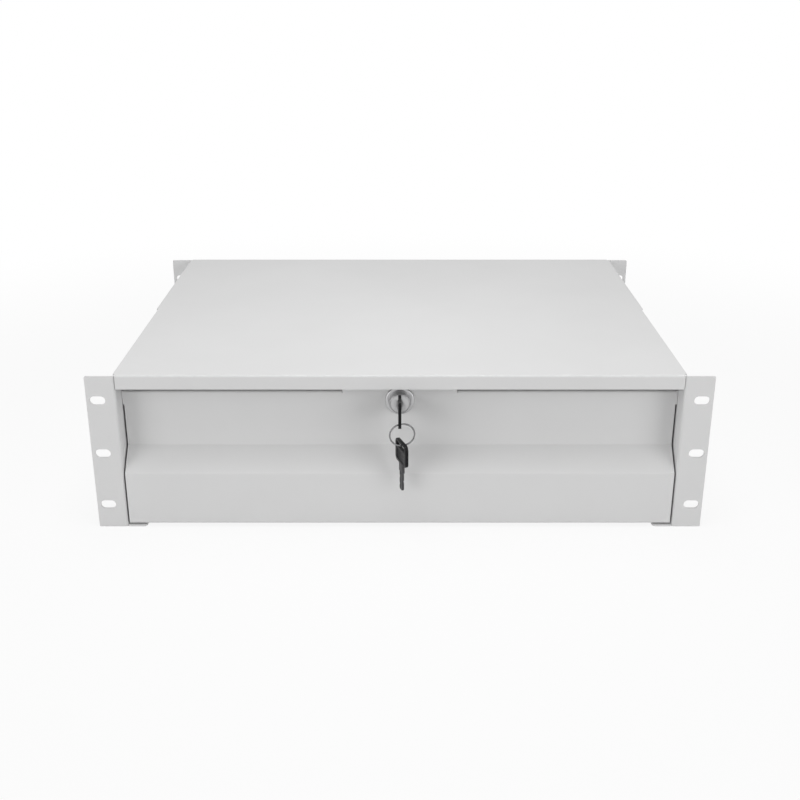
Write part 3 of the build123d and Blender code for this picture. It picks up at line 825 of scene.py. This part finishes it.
def whiteRays(tree):
    # one where a ray comes from the camera, a mirror or glass
    path = tree.nodes.new("ShaderNodeLightPath")
    total = path.outputs["Is Camera Ray"]
    for key in ("Is Glossy Ray", "Is Transmission Ray"):
        add = tree.nodes.new("ShaderNodeMath")
        add.operation = "ADD"
        add.use_clamp = True
        tree.links.new(total, add.inputs[0])
        tree.links.new(path.outputs[key], add.inputs[1])
        total = add.outputs[0]
    return total


def makeWorld():
    world = bpy.data.worlds.new("studio")
    bpy.context.scene.world = world
    world.use_nodes = True
    tree = world.node_tree
    tree.nodes.clear()
    soft, white = (tree.nodes.new("ShaderNodeBackground") for n in range(2))
    soft.inputs["Strength"].default_value = studio["worldLight"]
    for part in (soft, white):
        part.inputs["Color"].default_value = (1, 1, 1, 1)
    mix = tree.nodes.new("ShaderNodeMixShader")
    out = tree.nodes.new("ShaderNodeOutputWorld")
    tree.links.new(whiteRays(tree), mix.inputs["Fac"])
    tree.links.new(soft.outputs[0], mix.inputs[1])
    tree.links.new(white.outputs[0], mix.inputs[2])
    tree.links.new(mix.outputs[0], out.inputs["Surface"])


def makeFloor():
    deselectAll()
    bpy.ops.mesh.primitive_plane_add(size=studio["floorSize"] * mm,
                                     location=(0, 0, studio["floorHeight"] * mm))
    floor = named("floor")
    bpy.ops.object.transform_apply(location=True, rotation=True, scale=True)
    material = bpy.data.materials.new("paleFloor")
    material.use_nodes = True
    tree = material.node_tree
    tree.nodes.clear()
    matt = tree.nodes.new("ShaderNodeBsdfDiffuse")
    matt.inputs["Color"].default_value = (0.8, 0.8, 0.8, 1)
    white = tree.nodes.new("ShaderNodeEmission")
    mix = tree.nodes.new("ShaderNodeMixShader")
    place = tree.nodes.new("ShaderNodeTexCoord")
    away = tree.nodes.new("ShaderNodeVectorMath")
    away.operation = "LENGTH"
    tree.links.new(place.outputs["Object"], away.inputs[0])
    fade = tree.nodes.new("ShaderNodeMapRange")
    fade.interpolation_type = "SMOOTHSTEP"
    near, far = (reach * mm for reach in studio["shadowReach"])
    for key, value in (("From Min", near), ("From Max", far),
                       ("To Min", 1 - studio["shadowShare"]), ("To Max", 1)):
        fade.inputs[key].default_value = value
    tree.links.new(away.outputs["Value"], fade.inputs["Value"])
    share = tree.nodes.new("ShaderNodeMath")
    share.operation = "MULTIPLY"
    out = tree.nodes.new("ShaderNodeOutputMaterial")
    tree.links.new(whiteRays(tree), share.inputs[0])
    tree.links.new(fade.outputs["Result"], share.inputs[1])
    tree.links.new(share.outputs[0], mix.inputs["Fac"])
    tree.links.new(matt.outputs[0], mix.inputs[1])
    tree.links.new(white.outputs[0], mix.inputs[2])
    tree.links.new(mix.outputs[0], out.inputs["Surface"])
    floor.data.materials.append(material)


lamps = {
    "overhead": {"at": (0, 300, 1300), "towards": (0, 200, 0), "size": 900, "watts": 4.85},
    "frontEdge": {"at": (0, -100, 700), "towards": (0, 0, 0), "size": 400, "watts": 1.85},
    "left": {"at": (-1300, -1000, 350), "towards": (0, 0, 0), "size": 900, "watts": 7.8},
    "right": {"at": (1300, -1000, 350), "towards": (0, 0, 0), "size": 900, "watts": 7.8},
}


def makeLamps():
    for name, values in lamps.items():
        data = bpy.data.lights.new(name, "AREA")
        data.shape = "SQUARE"
        data.size = values["size"] * mm
        data.energy = values["watts"]
        lamp = bpy.data.objects.new(name, data)
        bpy.context.scene.collection.objects.link(lamp)
        lamp.location = Vector(values["at"]) * mm
        aim = (Vector(values["towards"]) - Vector(values["at"])).to_track_quat("-Z", "Y")
        lamp.rotation_euler = aim.to_euler()


def makeCamera():
    data = bpy.data.cameras.new("view")
    data.lens = studio["lens"]
    data.sensor_width = 36
    data.shift_x = studio["sideShift"]
    camera = bpy.data.objects.new("view", data)
    bpy.context.scene.collection.objects.link(camera)
    camera.location = Vector(studio["camera"]) * mm
    camera.rotation_euler = (math.radians(90 - studio["tiltDown"]), 0, 0)
    bpy.context.scene.camera = camera


makeWorld()
makeFloor()
makeLamps()
makeCamera()
bpy.context.scene.view_settings.view_transform = "Standard"
print("studio ready")
